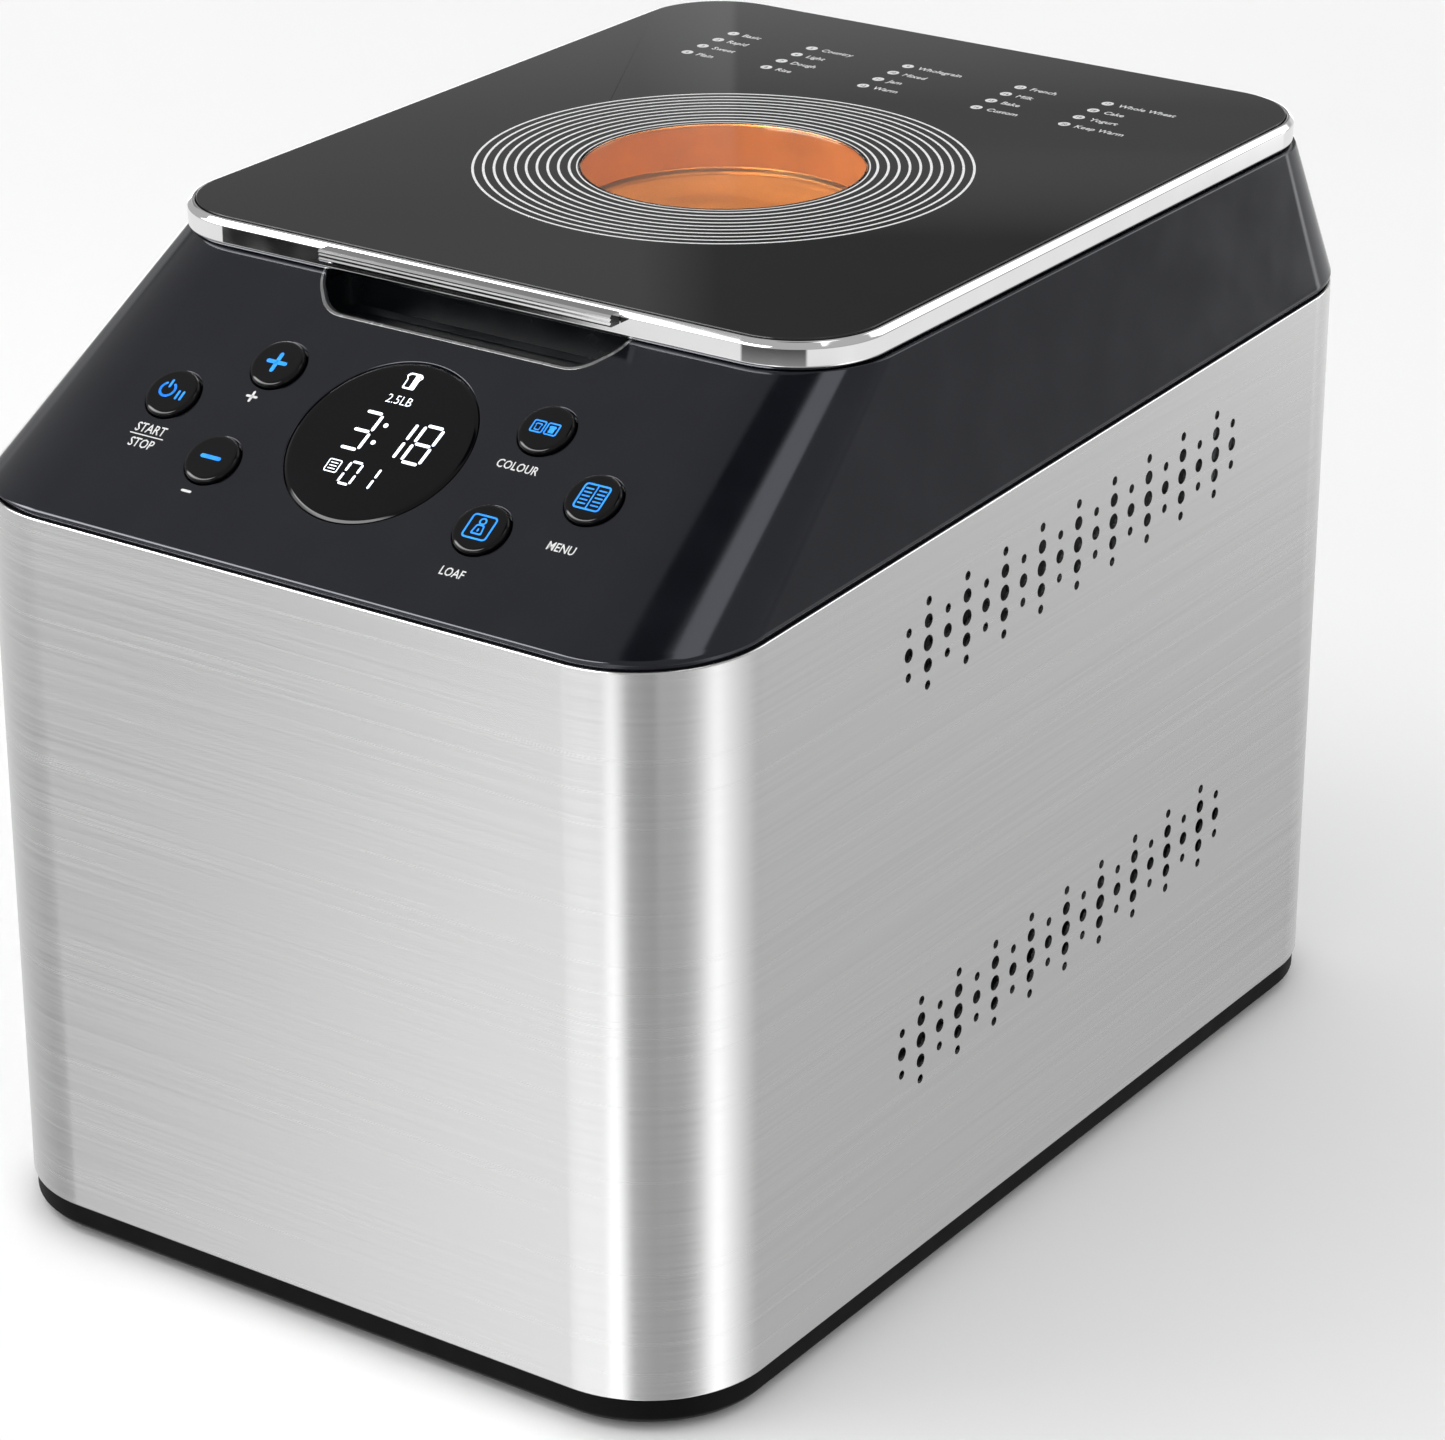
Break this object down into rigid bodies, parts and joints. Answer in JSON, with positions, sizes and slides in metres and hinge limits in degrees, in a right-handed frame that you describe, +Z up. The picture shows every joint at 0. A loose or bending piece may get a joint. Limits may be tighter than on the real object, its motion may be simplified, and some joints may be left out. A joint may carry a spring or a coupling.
{
  "type": "bread machine",
  "caption": "Countertop bread machine: brushed steel case, black control slope with round keys and disc display, framed glass lid over a removable kneading pan.",
  "frame": {"origin": "on the surface the machine stands on, under the middle of its body", "axes": "+Z up, +Y towards the back (the control slope faces -Y), +X to the user's right"},
  "size_m": [0.255, 0.376, 0.2918],
  "materials": {
    "brushed_steel": "horizontal brushed grain",
    "chrome": "mirror polished",
    "housing_plastic": "satin gloss black",
    "matte_plastic": "fine moulded grain",
    "black_glass": "gloss black, back printed",
    "window_glass": "clear",
    "button_plastic": "gloss, backlit symbol",
    "foot_rubber": "matte",
    "galvanised_steel": "galvanised",
    "aluminium": "satin",
    "pan_coating": "bronze non-stick coating",
    "heater_steel": "dark oxide",
    "machined_steel": "turned",
    "nylon": "natural nylon",
    "belt_rubber": "matte",
    "circuit_board": "solder mask",
    "component_plastic": "moulded"
  },
  "bodies": {
    "body": {"base_tray": "matte_plastic", "foot_front_left": "foot_rubber", "foot_front_right": "foot_rubber", "foot_rear_left": "foot_rubber", "foot_rear_right": "foot_rubber", "steel_wrap": "brushed_steel", "rear_panel": "galvanised_steel", "cord_gland": "matte_plastic", "rear_screw_1": "machined_steel", "rear_screw_2": "machined_steel", "rear_screw_3": "machined_steel", "rear_screw_4": "machined_steel", "top_housing": "housing_plastic", "finger_pocket": "housing_plastic", "display_window": "black_glass", "display_module": "component_plastic", "control_board": "circuit_board", "oven_chamber": "aluminium", "chamber_bracket_right": "galvanised_steel", "chamber_bracket_left": "galvanised_steel", "heater_element": "heater_steel", "temperature_sensor": "machined_steel", "pan_seat": "aluminium", "chassis_plate": "galvanised_steel", "bearing_housing": "aluminium", "drive_belt": "belt_rubber", "motor_body": "galvanised_steel", "motor_capacitor": "component_plastic", "capacitor_clip": "galvanised_steel", "power_board": "circuit_board", "hinge_bracket_right": "matte_plastic", "hinge_bracket_left": "matte_plastic", "hinge_pin_right": "machined_steel", "hinge_pin_left": "machined_steel"},
    "lid": {"lid_frame": "chrome", "lid_glass": "black_glass", "viewing_window": "window_glass", "inner_window": "window_glass", "lid_liner": "aluminium", "lid_handle": "chrome", "lid_hinge_arm_right": "matte_plastic", "lid_hinge_arm_left": "matte_plastic"},
    "drive": {"drive_shaft": "machined_steel", "drive_coupler": "machined_steel", "drive_pulley": "nylon", "pan_spindle": "machined_steel", "kneading_paddle": "pan_coating"},
    "motor_rotor": {"motor_shaft": "machined_steel", "motor_pulley": "machined_steel"},
    "pan": {"bread_pan": "pan_coating", "pan_base": "aluminium", "bail_bracket_front": "machined_steel", "bail_bracket_rear": "machined_steel"},
    "bail": {"bail_handle": "machined_steel"},
    "start_key": {"button_start": "button_plastic"},
    "plus_key": {"button_plus": "button_plastic"},
    "minus_key": {"button_minus": "button_plastic"},
    "crust_key": {"button_crust": "button_plastic"},
    "loaf_key": {"button_loaf": "button_plastic"},
    "menu_key": {"button_menu": "button_plastic"}
  },
  "joints": [
    {"name": "lid_hinge", "type": "hinge", "parent": "body", "child": "lid", "pos_m": [0, 0.177, 0.284], "axis": [-1, 0, 0], "range_deg": [0, 85]},
    {"name": "pan_twist", "type": "hinge", "parent": "body", "child": "pan", "pos_m": [0, 0.034, 0.06], "axis": [0, 0, 1], "range_deg": [0, 12]},
    {"name": "bail_swing", "type": "hinge", "parent": "pan", "child": "bail", "pos_m": [0, 0.034, 0.184], "axis": [0, -1, 0], "range_deg": [0, 180]},
    {"name": "drive_spin", "type": "hinge", "parent": "body", "child": "drive", "pos_m": [0, 0.034, 0.03], "axis": [0, 0, 1], "continuous": true},
    {"name": "motor_spin", "type": "hinge", "parent": "body", "child": "motor_rotor", "pos_m": [0, -0.128, 0.03], "axis": [0, 0, 1], "continuous": true},
    {"name": "start_press", "type": "slide", "parent": "body", "child": "start_key", "axis": [0, 0.5371, -0.8435], "range_m": [0, 0.001], "stiffness_N_per_m": 400, "springref_m": -0.002},
    {"name": "plus_press", "type": "slide", "parent": "body", "child": "plus_key", "axis": [0, 0.5371, -0.8435], "range_m": [0, 0.001], "stiffness_N_per_m": 400, "springref_m": -0.002},
    {"name": "minus_press", "type": "slide", "parent": "body", "child": "minus_key", "axis": [0, 0.5371, -0.8435], "range_m": [0, 0.001], "stiffness_N_per_m": 400, "springref_m": -0.002},
    {"name": "crust_press", "type": "slide", "parent": "body", "child": "crust_key", "axis": [0, 0.5371, -0.8435], "range_m": [0, 0.001], "stiffness_N_per_m": 400, "springref_m": -0.002},
    {"name": "loaf_press", "type": "slide", "parent": "body", "child": "loaf_key", "axis": [0, 0.5371, -0.8435], "range_m": [0, 0.001], "stiffness_N_per_m": 400, "springref_m": -0.002},
    {"name": "menu_press", "type": "slide", "parent": "body", "child": "menu_key", "axis": [0, 0.5371, -0.8435], "range_m": [0, 0.001], "stiffness_N_per_m": 400, "springref_m": -0.002}
  ],
  "couplings": [
    {"joint": "motor_spin", "follows": "drive_spin", "ratio": 5.5}
  ]
}
